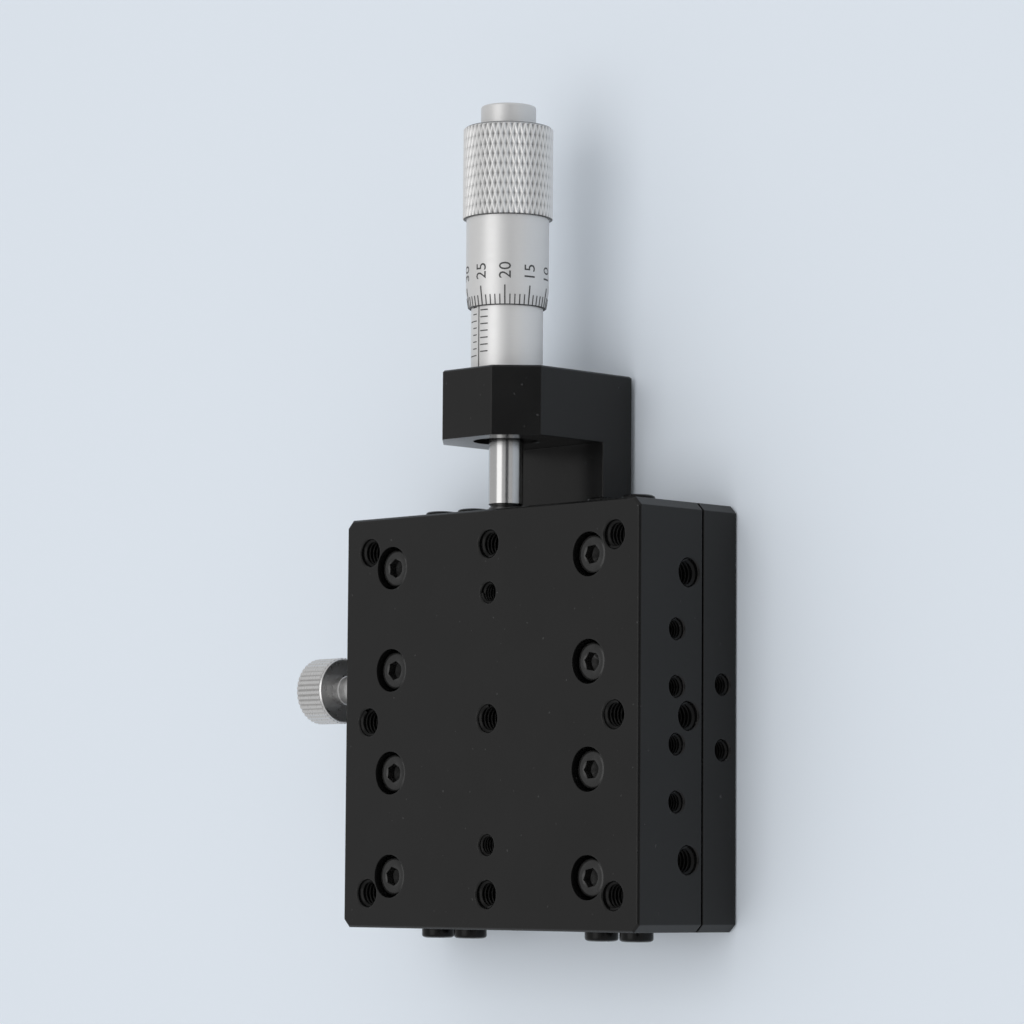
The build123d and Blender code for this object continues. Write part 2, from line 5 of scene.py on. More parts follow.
import bmesh
import bpy
from mathutils import Matrix, Vector


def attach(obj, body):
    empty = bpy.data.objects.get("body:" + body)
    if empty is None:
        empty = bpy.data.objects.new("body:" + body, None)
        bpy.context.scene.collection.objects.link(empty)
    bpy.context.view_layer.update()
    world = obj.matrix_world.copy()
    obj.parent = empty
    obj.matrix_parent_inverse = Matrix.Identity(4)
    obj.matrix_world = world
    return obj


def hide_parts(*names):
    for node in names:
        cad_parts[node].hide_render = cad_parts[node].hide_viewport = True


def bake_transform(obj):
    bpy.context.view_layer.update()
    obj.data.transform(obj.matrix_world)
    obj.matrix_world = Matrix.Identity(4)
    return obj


# A linear translation stage, finished and lit in a studio.
# The object's lengths are in millimetres, turned into metres by MM. The studio's are in metres.
MM = 0.001
TURN = 2 * math.pi

# Stage: half its length and width, its top, and its holes from the middle
STAGE_END = 30
STAGE_TOP = 20
M4_CORNER = 25
SIDE_M4_X = 20
M3_PAIR_X = 18
SIDE_M3_X = (-12, -4, 4, 12)
SIDE_M3_HEIGHT = 12.4
BASE_SIDE_X = (-4.6, 4.6)
BASE_SIDE_HEIGHT = 3

# Micrometer head, along X at this height
SPINDLE_HEIGHT = 16.5
ON_SPINDLE = (0, 0, SPINDLE_HEIGHT)
SLEEVE_RADIUS = 5.2
SLEEVE_ZERO_X = 52.09
SLEEVE_TURN = 5.5
THIMBLE_EDGE_X = 59.15
THIMBLE_BEVEL_END_X = 61.7
THIMBLE_EDGE_RADIUS = 5.6
THIMBLE_RADIUS = 6.0
THIMBLE_BORE = 5.28
GRIP_START_X = 72.2
GRIP_END_X = 85.7
GRIP_RADIUS = 6.55
DIVISIONS = 50
DIVISION_ON_TOP = 25.84
THIMBLE_NUMBER_X = 64.07
THIMBLE_NUMBER_SIZE = 1.75
SLEEVE_NUMBER_SIZE = 1.5
SLEEVE_NUMBER_ARC = 4.9

# Screws: places, and each head's radius, height, socket width and socket depth
RAIL_SCREW_X = (-22.5, -7.5, 7.5, 22.5)
BASE_SCREW_Y = 13.35
BASE_SCREW_SEAT = 3.3
TABLE_SCREW_Y = 20.15
TABLE_SCREW_SEAT = 16.35
RAIL_MIDDLE = 10.0
BRACKET_SCREW_PLACE = (44, 6, 4.2)
M3_HEAD = (2.7, 3.0, 2.5, 1.4)
LOW_HEAD = (2.4, 1.45, 1.5, 0.9)

# Lock and springs
LOCK_X = 5.3
LOCK_HEIGHT = 12.4
LOCK_PLATE_SCREW_X = 9
LOCK_PLATE_SCREW_Y = 31.5
SPRING_Y = 5
TABLE_POST_X = -20
BASE_POST_X = 22

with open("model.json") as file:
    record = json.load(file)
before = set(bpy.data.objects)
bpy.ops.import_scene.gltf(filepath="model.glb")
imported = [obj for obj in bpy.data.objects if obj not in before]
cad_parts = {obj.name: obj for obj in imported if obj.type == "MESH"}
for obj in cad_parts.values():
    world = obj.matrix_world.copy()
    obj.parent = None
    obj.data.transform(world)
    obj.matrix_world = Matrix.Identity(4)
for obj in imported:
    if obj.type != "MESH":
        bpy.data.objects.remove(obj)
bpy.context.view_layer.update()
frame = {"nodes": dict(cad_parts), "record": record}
nodes = frame["nodes"]


# ---------------------------------------------------------------- at the bench


def deselect_all():
    for item in bpy.context.selected_objects:
        item.select_set(False)
    bpy.context.view_layer.objects.active = None


def choose(piece):
    deselect_all()
    piece.select_set(True)
    bpy.context.view_layer.objects.active = piece


@contextmanager
def editing(piece):
    """Edit mode on one piece, with everything in it selected."""
    choose(piece)
    bpy.ops.object.mode_set(mode="EDIT")
    bpy.ops.mesh.select_mode(type="VERT")
    bpy.ops.mesh.select_all(action="SELECT")
    yield
    bpy.ops.object.mode_set(mode="OBJECT")


def pick(piece, kind, wanted):
    """In edit mode, selects the vertices, edges or faces that wanted() accepts."""
    bpy.ops.mesh.select_mode(type=kind)
    bpy.ops.mesh.select_all(action="DESELECT")
    shape = bmesh.from_edit_mesh(piece.data)
    for part in {"VERT": shape.verts, "EDGE": shape.edges, "FACE": shape.faces}[kind]:
        part.select = wanted(part)
    shape.select_flush_mode()
    bmesh.update_edit_mesh(piece.data)


def apply(piece, kind, **settings):
    """Adds one modifier with its settings and applies it."""
    choose(piece)
    modifier = piece.modifiers.new(kind.title(), kind)
    for setting, value in settings.items():
        setattr(modifier, setting, value)
    bpy.ops.object.modifier_apply(modifier=modifier.name)


def weld(piece):
    """Merges doubles and turns every face outwards."""
    with editing(piece):
        bpy.ops.mesh.remove_doubles(threshold=0.002 * MM)
        bpy.ops.mesh.normals_make_consistent(inside=False)


def smooth(piece, degrees=32):
    choose(piece)
    bpy.ops.object.shade_smooth_by_angle(angle=math.radians(degrees))


def start_line(name, points):
    """A wire through points given in metres, extruded vertex by vertex."""
    deselect_all()
    bpy.ops.mesh.primitive_plane_add(size=MM)
    piece = bpy.context.object
    piece.name = piece.data.name = name
    with editing(piece):
        bpy.ops.mesh.merge(type="CENTER")
        bpy.ops.transform.translate(value=points[0])
        for here, there in zip(points, points[1:]):
            bpy.ops.mesh.extrude_vertices_move(TRANSFORM_OT_translate={"value": there - here})
    return piece


def turned(name, outline, steps=96, height=SPINDLE_HEIGHT):
    """An outline of (x, radius) in millimetres, spun about the X axis at a height."""
    points = [Vector((x, 0, height + radius)) * MM for x, radius in outline]
    piece = start_line(name, points)
    with editing(piece):
        bpy.ops.mesh.spin(
            steps=steps, angle=TURN, center=(0, 0, height * MM), axis=(1, 0, 0)
        )
    weld(piece)
    smooth(piece)
    return piece


def placed(piece, name, move=(0, 0, 0), turn=None, pivot=(0, 0, 0)):
    """A copy with its own mesh, turned about a pivot and moved, in millimetres."""
    copy = piece.copy()
    copy.data = piece.data.copy()
    copy.name = copy.data.name = name
    bpy.context.scene.collection.objects.link(copy)
    centre = Matrix.Translation(Vector(pivot) * MM)
    turning = turn if turn is not None else Matrix.Identity(4)
    copy.matrix_world = (
        Matrix.Translation(Vector(move) * MM) @ centre @ turning @ centre.inverted()
    )
    choose(copy)
    bpy.ops.object.transform_apply()
    return copy


def discard(*pieces):
    for piece in pieces:
        bpy.data.objects.remove(piece)


def joined(name, pieces):
    choose(pieces[0])
    for piece in pieces:
        piece.select_set(True)
    bpy.ops.object.join()
    pieces[0].name = pieces[0].data.name = name
    return pieces[0]


def cut_away(piece, cutter):
    """Takes the cutter's form out of a piece and throws the cutter away."""
    apply(piece, "BOOLEAN", operation="DIFFERENCE", object=cutter, solver="EXACT")
    discard(cutter)
    deselect_all()


def fit(piece, body, slot, finish, *stands_for):
    """Gives a finished piece its finish and its place on the moving bodies."""
    piece.data.materials.clear()
    piece.data.materials.append(finish)
    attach(piece, body)
    if stands_for:
        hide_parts(*stands_for)
    return piece


def about(axis, degrees):
    return Matrix.Rotation(math.radians(degrees), 4, axis)


# ------------------------------------------------------------------- finishes


class Wire:
    """A socket of a finish, on which arithmetic adds Math nodes."""

    def __init__(self, finish, socket):
        self.finish, self.socket = finish, socket

    def math(self, operation, *values):
        return self.finish.node("ShaderNodeMath", {"operation": operation}, *values)

    def __add__(self, other):
        return self.math("ADD", self, other)

    def __sub__(self, other):
        return self.math("SUBTRACT", self, other)

    def __rsub__(self, other):
        return self.math("SUBTRACT", other, self)

    def __mul__(self, other):
        return self.math("MULTIPLY", self, other)

    __radd__ = __add__
    __rmul__ = __mul__


class Finish:
    """A material built from nodes round one Principled shader."""

    def __init__(self, name, **constants):
        self.material = bpy.data.materials.new(name)
        self.material.use_nodes = True
        self.tree = self.material.node_tree
        self.tree.nodes.clear()
        self.shader = self.tree.nodes.new("ShaderNodeBsdfPrincipled")
        output = self.tree.nodes.new("ShaderNodeOutputMaterial")
        self.tree.links.new(self.shader.outputs[0], output.inputs["Surface"])
        for socket, value in constants.items():
            self.shader.inputs[socket.replace("_", " ")].default_value = value

    def node(self, kind, settings=None, *values, output=0, **named):
        """Adds a node: its settings first, then its inputs by order or by name."""
        made = self.tree.nodes.new(kind)
        for setting, value in (settings or {}).items():
            setattr(made, setting, value)
        inputs = [(made.inputs[i], value) for i, value in enumerate(values)]
        inputs += [(made.inputs[n.replace("_", " ")], value) for n, value in named.items()]
        for socket, value in inputs:
            if isinstance(value, Wire):
                self.tree.links.new(value.socket, socket)
            elif value is not None:
                socket.default_value = value
        return Wire(self, made.outputs[output])

    def place(self):
        return self.node("ShaderNodeTexCoord", output="Object")

    def stretched(self, x, y, z):
        return self.node("ShaderNodeMapping", Vector=self.place(), Scale=(x, y, z))

    def noise(self, scale, where=None, detail=2.0):
        return self.node(
            "ShaderNodeTexNoise",
            Vector=where or self.place(),
            Scale=scale / MM,
            Detail=detail,
        )

    def between(self, wire, low, high, to_low=0.0, to_high=1.0):
        return self.node(
            "ShaderNodeMapRange", {"clamp": True}, wire, low, high, to_low, to_high
        )

    def blend(self, factor, first, second):
        """A colour between two others."""
        made = self.node("ShaderNodeMix", {"data_type": "RGBA"}, factor)
        mix = made.socket.node
        for socket, value in ((mix.inputs[6], first), (mix.inputs[7], second)):
            if isinstance(value, Wire):
                self.tree.links.new(value.socket, socket)
            else:
                socket.default_value = value
        return Wire(self, mix.outputs[2])

    def feed(self, socket, wire):
        self.tree.links.new(wire.socket, self.shader.inputs[socket])

    def bump(self, height, strength, distance, edge=0.0):
        """Feeds the normal from a height, over edges softened by a small radius."""
        soft = self.node("ShaderNodeBevel", {"samples": 6}, edge * MM) if edge else None
        made = self.node(
            "ShaderNodeBump",
            None,
            Strength=strength,
            Distance=distance * MM,
            Height=height,
            Normal=soft,
        )
        self.feed("Normal", made)


def grey(value, warmth=0.0):
    return (value * (1 + warmth), value, value * (1 - warmth), 1.0)


def anodised(name, shine):
    """Matt black anodising with a faint mottle and a few specks of dust."""
    made = Finish(name, IOR=1.45, Specular_IOR_Level=shine, Specular_Tint=(1.0, 0.985, 0.965, 1.0))
    mottle = made.noise(0.12)
    specks = made.between(made.noise(1.3, detail=1.0), 0.755, 0.8)
    tone = made.blend(mottle, grey(0.0042), grey(0.0066))
    made.feed("Base Color", made.blend(specks * 0.35, tone, grey(0.1)))
    made.feed("Roughness", made.between(mottle, 0.3, 0.7, 0.22, 0.26))
    made.bump(made.noise(9.0), 0.2, 0.01, edge=0.22)
    return made.material


def black_oxide(name, bare, shine, tone):
    """Oiled black oxide on the screws."""
    made = Finish(name, Metallic=bare, Specular_IOR_Level=shine)
    patches = made.noise(0.8)
    made.feed("Base Color", made.blend(patches, grey(tone * 0.6, 0.02), grey(tone * 1.4, 0.02)))
    made.feed("Roughness", made.between(patches, 0.3, 0.7, 0.2, 0.3))
    return made.material


def metal(name, light, warmth=0.0, rough=0.3, brush=(1, 1, 1), grain=0.04, bump=0.0, bare=1.0):
    """Metal with fine marks, drawn out along the axes where brush is small."""
    made = Finish(name, Metallic=bare)
    marks = made.noise(1.0, made.stretched(*brush), detail=3.0)
    made.feed(
        "Base Color",
        made.blend(marks, grey(light * (1 - grain), warmth), grey(light * (1 + grain), warmth)),
    )
    made.feed("Roughness", made.between(marks, 0.3, 0.7, rough * 0.85, rough * 1.15))
    if bump:
        made.bump(marks, bump, 0.01)
    return made.material


def chrome(name, light, rough, bare, shade_lines=(), pit_shade=None):
    """Satin chrome, with narrow dark lines of painted shade at some places along X, and painted
    shade in the knurl's hollows.
    """
    made = Finish(name, Metallic=bare)
    marks = made.noise(1.0, made.stretched(9, 0.6, 0.6), detail=3.0)
    tone = made.blend(marks, grey(light * 0.97, 0.01), grey(light * 1.03, 0.01))
    x, y, z = (made.node("ShaderNodeSeparateXYZ", None, made.place(), output=i) for i in range(3))
    # Painted shade: each band turns the chrome near black, for the shade in the gap where an edge
    # meets the next part.
    for start, end in shade_lines:
        inside = made.between(x, (start - 0.02) * MM, start * MM)
        inside = inside * made.between(x, (end - 0.04) * MM, end * MM, 1.0, 0.0)
        tone = made.blend(inside, tone, grey(0.03))
    # Painted shade: the chrome darkens from the crests down to the roots of the knurl, where the
    # hollows lie in shade.
    if pit_shade:
        out = z - SPINDLE_HEIGHT * MM
        square = y * y + out * out
        radius = square.math("SQRT", square)
        tone = made.blend(made.between(radius, pit_shade[0] * MM, pit_shade[1] * MM), grey(pit_shade[2]), tone)
    made.feed("Base Color", tone)
    made.feed("Roughness", made.between(marks, 0.3, 0.7, rough * 0.85, rough * 1.15))
    return made.material


def plain(name, tone, rough=0.6):
    return Finish(name, Base_Color=grey(tone), Roughness=rough).material


black = anodised("black_anodising", 0.34)
# Painted shade: a copy of the anodising with half the shine, dimming the threads' reflections
# inside the holes.
shaded_thread_black = anodised("black_thread_shaded", 0.17)
oxide = black_oxide("black_oxide", 0.4, 0.5, 0.022)
# Painted shade: a darker, duller copy of the black oxide for the screws in the stage's end faces,
# which lie in shade.
shaded_oxide = black_oxide("shaded_black_oxide", 0.0, 0.15, 0.004)
satin = chrome("satin_chrome_plate", 0.7, 0.42, 0.5)
# Painted shade: dark bands at the thimble's lip edge, the cap's foot and the grip's start.
thimble_satin = chrome("thimble_chrome_plate", 0.67, 0.42, 0.5,
                       [(THIMBLE_EDGE_X, THIMBLE_EDGE_X + 0.14)])
cap_satin = chrome("cap_chrome_plate", 0.65, 0.42, 0.5, [(GRIP_END_X, GRIP_END_X + 0.15)])
# Painted shade: the knurl's hollows darken to 0.16.
knurled = chrome("knurled_chrome", 0.73, 0.42, 0.6, [(GRIP_START_X, GRIP_START_X + 0.12)],
                 (GRIP_RADIUS - 0.32, GRIP_RADIUS - 0.1, 0.16))
ground = metal("ground_spindle", 0.47, 0.01, 0.19, (12, 0.5, 0.5), 0.06, bump=0.05)
rail_steel = metal("ground_rail", 0.5, rough=0.28, brush=(0.6, 9, 9), grain=0.08)
roller_steel = metal("polished_roller", 0.6, rough=0.12)
brass = metal("cage_brass_strip", 0.45, warmth=0.35, rough=0.35)
spring_wire = metal("drawn_wire", 0.42, rough=0.3)
knob_steel = metal("turned_stainless", 0.6, 0.01, 0.3, (0.8, 9, 0.8), 0.05, bare=0.8)
dark_steel = metal("hardened_steel", 0.06, rough=0.3)
ink = plain("engraving_black", 0.05)

finishes = {
    "black_anodised": black,
    "black_oxide_screw": oxide,
    "ground_rail_steel": rail_steel,
    "roller_steel": roller_steel,
    "cage_brass": brass,
    "spring_steel": spring_wire,
    "ground_spindle_steel": ground,
    "satin_chrome": satin,
    "turned_knob_steel": knob_steel,
    "hardened_dark_steel": dark_steel,
}
for subpart in frame["record"]["subparts"]:
    node = nodes[subpart["node"]]
    node.data.materials.clear()
    node.data.materials.append(finishes[subpart["material_slot"]])
nodes["thimble_end_cap"].data.materials[0] = cap_satin


# --------------------------------------------------------------- micrometer head


def make_thimble():
    body = turned(
        "thimble_body",
        [
            (THIMBLE_EDGE_X + 0.3, THIMBLE_BORE),
            (THIMBLE_EDGE_X, THIMBLE_BORE + 0.08),
            (THIMBLE_EDGE_X, THIMBLE_EDGE_RADIUS - 0.16),
            (THIMBLE_EDGE_X + 0.05, THIMBLE_EDGE_RADIUS - 0.05),
            (THIMBLE_EDGE_X + 0.16, THIMBLE_EDGE_RADIUS + 0.02),
            (THIMBLE_BEVEL_END_X - 0.2, THIMBLE_RADIUS - 0.03),
            (THIMBLE_BEVEL_END_X + 0.15, THIMBLE_RADIUS),
            (GRIP_START_X + 0.2, THIMBLE_RADIUS),
            (GRIP_START_X + 0.2, THIMBLE_BORE),
            (THIMBLE_EDGE_X + 0.3, THIMBLE_BORE),
        ],
        steps=128,
    )
    fit(body, "spindle", "satin_chrome", thimble_satin, "thimble")
    return body


def make_grip():
    """The knurled grip: rows of points moved out and in by turns, then blunted."""
    row_start, row_end, rows = GRIP_START_X + 0.2, GRIP_END_X - 0.45, 9
    row_pitch = (row_end - row_start) / rows
    mean, crest, root = GRIP_RADIUS - 0.14, GRIP_RADIUS - 0.01, GRIP_RADIUS - 0.3
    outline = [(GRIP_START_X, THIMBLE_BORE), (GRIP_START_X, root - 0.06)]
    outline += [(row_start + i * row_pitch, mean) for i in range(rows + 1)]
    for i in range(1, 5):
        turn = math.radians(90 * i / 4)
        room = GRIP_END_X - row_end
        outline.append((row_end + room * math.sin(turn), mean - 0.5 * (1 - math.cos(turn))))
    floor_x, cap_hole = 82.0, 2.6
    outline += [(GRIP_END_X, cap_hole), (floor_x, cap_hole)]
    outline += [(floor_x, THIMBLE_BORE), (GRIP_START_X, THIMBLE_BORE)]
    grip = turned("thimble_grip", outline, steps=2 * DIVISIONS)

    def side(vertex):
        """0 for a point that moves out, 1 for one that moves in, None for the rest."""
        radius = math.hypot(vertex.co.y, vertex.co.z - SPINDLE_HEIGHT * MM) / MM
        row = (vertex.co.x / MM - row_start) / row_pitch
        on_row = abs(row - round(row)) < 0.01 and -0.1 < row < rows + 0.1
        if not (on_row and abs(radius - mean) < 0.05):
            return None
        step = math.atan2(vertex.co.y, vertex.co.z - SPINDLE_HEIGHT * MM) / TURN * 2 * DIVISIONS
        return (round(row) + round(step)) % 2

    with editing(grip):
        axis = (0, 0, SPINDLE_HEIGHT * MM)
        pick(grip, "VERT", lambda v: side(v) == 0)
        crests = {v.index for v in bmesh.from_edit_mesh(grip.data).verts if v.select}
        share = crest / mean
        bpy.ops.transform.resize(value=(1, share, share), center_override=axis)
        pick(grip, "VERT", lambda v: side(v) == 1)
        share = root / mean
        bpy.ops.transform.resize(value=(1, share, share), center_override=axis)
        pick(grip, "FACE", lambda f: len(f.verts) == 4 and all(
            row_start - 0.01 < v.co.x / MM < row_end + 0.01
            and math.hypot(v.co.y, v.co.z - axis[2]) > (root - 0.05) * MM
            for v in f.verts))
        bpy.ops.mesh.quads_convert_to_tris(quad_method="LONGEST_DIAGONAL")
        pick(grip, "EDGE", lambda e: all(v.index in crests for v in e.verts))
        bpy.ops.mesh.bevel(offset=0.075 * MM, offset_type="WIDTH", affect="EDGES", segments=1)
    smooth(grip, 14)
    return fit(grip, "spindle", "satin_chrome", knurled, "thimble")


def bevel_strip(name, x_start, x_end, width, lift):
    """A thin mark along X, laid on the thimble's bevel and body at the top."""

    def surface(x):
        share = min(1.0, (x - THIMBLE_EDGE_X) / (THIMBLE_BEVEL_END_X - THIMBLE_EDGE_X))
        return THIMBLE_EDGE_RADIUS + share * (THIMBLE_RADIUS - THIMBLE_EDGE_RADIUS)

    xs = [x_start + (x_end - x_start) * i / 6 for i in range(7)]
    points = [
        Vector((x, -width / 2, SPINDLE_HEIGHT + surface(x) + lift)) * MM for x in xs
    ]
    strip = start_line(name, points)
    with editing(strip):
        bpy.ops.mesh.extrude_edges_move(TRANSFORM_OT_translate={"value": (0, width * MM, 0)})
    return strip


def make_thimble_marks():
    """Fifty divisions, every fifth one longer."""
    short = bevel_strip("short_division", THIMBLE_EDGE_X + 0.1, THIMBLE_EDGE_X + 1.5, 0.15, 0.012)
    long = bevel_strip("long_division", THIMBLE_EDGE_X + 0.1, THIMBLE_EDGE_X + 2.8, 0.18, 0.012)
    copies = []
    for division in range(DIVISIONS):
        source = short if division % 5 else long
        angle = -(division - DIVISION_ON_TOP) * 360 / DIVISIONS
        copies.append(
            placed(source, f"division_{division}", turn=about("X", angle),
                   pivot=ON_SPINDLE)
        )
    discard(short, long)
    divisions = joined("thimble_divisions", copies)
    apply(divisions, "SOLIDIFY", thickness=0.03 * MM, offset=-1.0)
    weld(divisions)
    return fit(divisions, "spindle", "satin_chrome", ink)


def flat_number(text, x_middle, arc_middle, digit_height, radius):
    """Digits read along X with their tops towards +Y, cut in strips for wrapping."""
    deselect_all()
    bpy.ops.object.text_add()
    words = bpy.context.object
    words.data.body = text
    words.data.align_x, words.data.align_y = "CENTER", "CENTER"
    words.data.resolution_u = 3
    choose(words)
    bpy.ops.object.convert(target="MESH")
    xs = [v.co.x for v in words.data.vertices]
    ys = [v.co.y for v in words.data.vertices]
    size = digit_height / (max(ys) - min(ys))
    middle = Vector(((max(xs) + min(xs)) / 2, (max(ys) + min(ys)) / 2, 0))
    place = Vector((x_middle, arc_middle, SPINDLE_HEIGHT + radius + 1.5))
    words.matrix_world = (
        Matrix.Translation(place * MM)
        @ Matrix.Scale(size * MM, 4)
        @ Matrix.Translation(-middle)
    )
    choose(words)
    bpy.ops.object.transform_apply()
    with editing(words):
        bpy.ops.mesh.remove_doubles(threshold=0.001 * MM)
        cuts = int(digit_height / 0.15)
        for i in range(1, cuts):
            y = arc_middle - digit_height / 2 + digit_height * i / cuts
            bpy.ops.mesh.select_all(action="SELECT")
            bpy.ops.mesh.bisect(plane_co=(0, y * MM, 0), plane_no=(0, 1, 0))
    return words


def wrapped(words, target, lift=0.012):
    """Projects flat digits down on to a round piece and gives them a little depth."""
    apply(
        words,
        "SHRINKWRAP",
        target=target,
        wrap_method="PROJECT",
        use_project_z=True,
        use_negative_direction=True,
        use_positive_direction=False,
        offset=lift * MM,
    )
    apply(words, "SOLIDIFY", thickness=0.03 * MM, offset=-1.0)
    weld(words)
    return words


def make_thimble_numbers(body):
    numbers = []
    for value in range(0, DIVISIONS, 5):
        digits = wrapped(
            flat_number(str(value), THIMBLE_NUMBER_X, 0, THIMBLE_NUMBER_SIZE, THIMBLE_RADIUS), body
        )
        angle = -(value - DIVISION_ON_TOP) * 360 / DIVISIONS
        numbers.append(
            placed(digits, f"number_{value}", turn=about("X", angle),
                   pivot=ON_SPINDLE)
        )
        discard(digits)
    return fit(joined("thimble_numbers", numbers), "spindle", "satin_chrome", ink)


def arc_mark(name, x, width, arc_start, arc_end, lift=0.014):
    """A mark round the sleeve, between two arc lengths from the datum, + towards -Y."""
    radius = SLEEVE_RADIUS + lift
    start = arc_start / SLEEVE_RADIUS
    points = [
        Vector((end, -radius * math.sin(start), SPINDLE_HEIGHT + radius * math.cos(start))) * MM
        for end in (x - width / 2, x + width / 2)
    ]
    mark = start_line(name, points)
    sweep = (arc_end - arc_start) / SLEEVE_RADIUS
    with editing(mark):
        bpy.ops.mesh.spin(
            steps=6, angle=sweep, center=(0, 0, SPINDLE_HEIGHT * MM), axis=(-1, 0, 0)
        )
    return mark


def make_sleeve_marks():
    """The datum line, with a mark each millimetre on one side and each half on the other."""
    marks = []
    for n in range(14):
        reach = -2.6 if n % 5 == 0 else -1.6
        marks.append(arc_mark(f"whole_{n}", SLEEVE_ZERO_X + n, 0.15, -0.55, reach))
        marks.append(arc_mark(f"half_{n}", SLEEVE_ZERO_X + n + 0.5, 0.15, 0.36, 1.7))
    marks.append(arc_mark("datum", 58.3, 16.6, -0.06, 0.06))
    drawn = joined("drawn_marks", marks)
    sleeve_marks = placed(drawn, "sleeve_graduations", turn=about("X", -SLEEVE_TURN),
                          pivot=ON_SPINDLE)
    discard(drawn)
    apply(sleeve_marks, "SOLIDIFY", thickness=0.04 * MM, offset=-1.0)
    weld(sleeve_marks)
    return fit(sleeve_marks, "base", "satin_chrome", ink)


def make_sleeve_numbers():
    sleeve = nodes["graduated_sleeve"]
    reach = SLEEVE_TURN + math.degrees(SLEEVE_NUMBER_ARC / SLEEVE_RADIUS)
    numbers = []
    for value in (0, 5, 10):
        digits = wrapped(
            flat_number(str(value), SLEEVE_ZERO_X + value, 0, SLEEVE_NUMBER_SIZE, SLEEVE_RADIUS),
            sleeve,
            0.02,
        )
        numbers.append(
            placed(digits, f"sleeve_{value}", turn=about("X", -reach),
                   pivot=ON_SPINDLE)
        )
        discard(digits)
    return fit(joined("sleeve_numbers", numbers), "base", "satin_chrome", ink)


thimble_body = make_thimble()
make_grip()
make_thimble_marks()
make_thimble_numbers(thimble_body)
make_sleeve_marks()
make_sleeve_numbers()


# ----------------------------------------------------------------------- screws


def socket_screw(name, radius, length, head_radius, head_height, width, depth, edge=0.6):
    """A socket head screw along Z, its head standing on z = 0."""
    rounded = [
        (head_radius - edge * (1 - math.sin(a)), head_height - 0.6 * edge * (1 - math.cos(a)))
        for a in (math.radians(x) for x in (90, 60, 30, 0))
    ]
    outline = [(-length, 0), (-length, radius - 0.3), (-length + 0.3, radius - 0.05)]
    outline += [(0, radius - 0.05), (0, head_radius - 0.1), (0.1, head_radius)]
    outline += [(z, r) for r, z in rounded] + [(head_height, 0)]
    screw = turned(name, outline, steps=48, height=0)
    upright = placed(screw, name + "_upright", turn=about("Y", -90))
    discard(screw)
    deselect_all()
    corner = width / 2 / math.cos(math.pi / 6)
    bpy.ops.mesh.primitive_cylinder_add(
        vertices=6, radius=corner * MM, depth=2 * depth * MM, location=(0, 0, head_height * MM)
    )
    cut_away(upright, bpy.context.object)
    mouth = corner + 0.02
    bpy.ops.mesh.primitive_cone_add(
        vertices=48,
        radius1=(mouth - 0.3) * MM,
        radius2=(mouth + 0.5) * MM,
        depth=0.44 * MM,
        location=(0, 0, (head_height + 0.02) * MM),
    )
    cut_away(upright, bpy.context.object)
    point = width / 2 * math.tan(math.radians(30))
    bpy.ops.mesh.primitive_cone_add(
        vertices=24,
        radius1=0,
        radius2=1.02 * width / 2 * MM,
        depth=1.02 * point * MM,
        location=(0, 0, (head_height - depth - 0.49 * point) * MM),
    )
    cut_away(upright, bpy.context.object)
    smooth(upright, 35)
    return upright


def make_screws():
    """Every socket head screw, from five models, each turned home by another angle."""
    table_screw = socket_screw("m3_screw", 1.5, 7.85, *M3_HEAD)
    base_screw = socket_screw("m3_base_screw", 1.5, 8.2, *M3_HEAD)
    long_screw = socket_screw("m3_long_screw", 1.5, 20.0, *M3_HEAD)
    low_screw = socket_screw("m25_low_screw", 1.25, 4.5, *LOW_HEAD, edge=0.7)
    plate_screw = socket_screw("m3_plate_screw", 1.5, 6.0, *LOW_HEAD, edge=0.7)
    wrench = (12, 41, 3, 27, 50, 19, 8, 33)
    for i, (x, y) in enumerate((x, y) for x in RAIL_SCREW_X for y in (-1, 1)):
        top = placed(table_screw, f"table_rail_screw_{i + 1}",
                     (x, y * TABLE_SCREW_Y, TABLE_SCREW_SEAT), about("Z", wrench[i]))
        fit(top, "table", "black_oxide_screw", oxide, "table_rail_screws")
        under = placed(base_screw, f"base_rail_screw_{i + 1}",
                       (x, y * BASE_SCREW_Y, BASE_SCREW_SEAT),
                       about("X", 180) @ about("Z", wrench[-i]))
        fit(under, "base", "black_oxide_screw", oxide, "base_rail_screws")
    count = 0
    for x, tilt in ((STAGE_END, 90), (-STAGE_END, -90)):
        for side in (-1, 1):
            count += 1
            for body, place in (("table", TABLE_SCREW_Y), ("base", BASE_SCREW_Y)):
                end = placed(low_screw, f"{body}_rail_end_screw_{count}",
                             (x, side * place, RAIL_MIDDLE),
                             about("Y", tilt) @ about("Z", wrench[count]))
                # The end screws take the darker oxide copy: painted shade.
                fit(end, body, "black_oxide_screw", shaded_oxide, f"{body}_rail_end_screws")
    x, y, z = BRACKET_SCREW_PLACE
    for i, side in enumerate((-1, 1)):
        arm = placed(long_screw, f"bracket_screw_{i + 1}", (x, side * y, z),
                     about("Y", 90) @ about("Z", wrench[i]))
        fit(arm, "base", "black_oxide_screw", oxide, "bracket_screws")
        plate = placed(plate_screw, f"lock_plate_screw_{i + 1}",
                       (LOCK_X + side * LOCK_PLATE_SCREW_X, LOCK_PLATE_SCREW_Y, BASE_SIDE_HEIGHT),
                       about("X", -90) @ about("Z", wrench[i]))
        fit(plate, "base", "black_oxide_screw", oxide, "lock_plate_screws")
    discard(table_screw, base_screw, long_screw, low_screw, plate_screw)


make_screws()


# --------------------------------------------------------------------- threads


